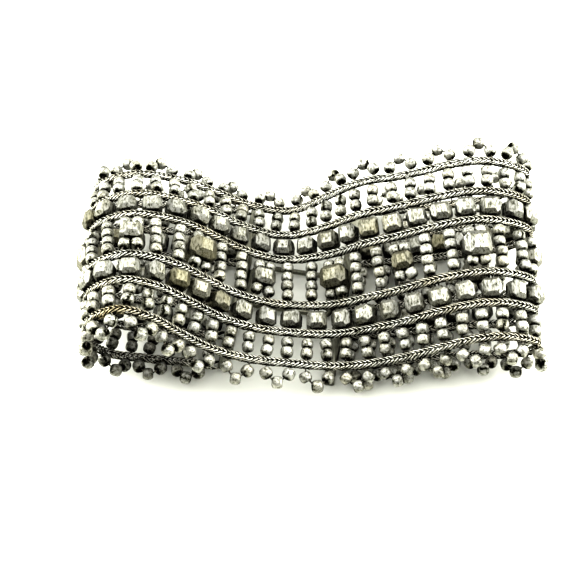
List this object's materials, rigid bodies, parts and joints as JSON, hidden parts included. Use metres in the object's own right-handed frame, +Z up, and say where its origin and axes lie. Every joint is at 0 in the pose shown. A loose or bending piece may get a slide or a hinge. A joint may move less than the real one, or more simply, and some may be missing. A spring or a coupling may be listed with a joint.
{
  "type": "beaded cuff bracelet",
  "caption": "Wide flexible metal bracelet of foxtail chains laced with rows of faceted nuggets and small round beads, edged with picots, lying folded on its face.",
  "frame": {"origin": "on the table, under the middle of the folded bracelet's box", "axes": "+X along the fold to the picture's right, +Y across the band away from the camera, +Z up from the table"},
  "size_m": [0.0918, 0.0512, 0.0255],
  "materials": {
    "chain_silver": "oxidised silver tone, dark in the recesses",
    "nugget_silver": "oxidised silver tone, brushed facets, some with a yellowish tarnish",
    "bead_silver": "oxidised silver tone, worn bright on top",
    "fitting_silver": "plain silver tone"
  },
  "bodies": {
    "root": {"edge_chain_back": "chain_silver", "inner_chain_back": "chain_silver", "centre_chain_back": "chain_silver", "centre_chain_front": "chain_silver", "inner_chain_front": "chain_silver", "edge_chain_front": "chain_silver", "nugget_row_back": "nugget_silver", "nugget_row_front": "nugget_silver", "bead_pairs_back": "bead_silver", "bead_pairs_front": "bead_silver", "picots_back": "bead_silver", "picots_front": "bead_silver", "centre_bead_columns": "bead_silver", "centre_nugget_1": "nugget_silver", "centre_nugget_2": "nugget_silver", "centre_nugget_3": "nugget_silver", "centre_nugget_4": "nugget_silver", "centre_nugget_5": "nugget_silver", "centre_nugget_6": "nugget_silver", "centre_nugget_7": "nugget_silver", "centre_nugget_8": "nugget_silver", "centre_nugget_9": "nugget_silver", "centre_nugget_10": "nugget_silver", "centre_nugget_11": "nugget_silver", "end_bar_left": "fitting_silver", "end_bar_right": "fitting_silver", "clasp": "fitting_silver"}
  },
  "joints": []
}
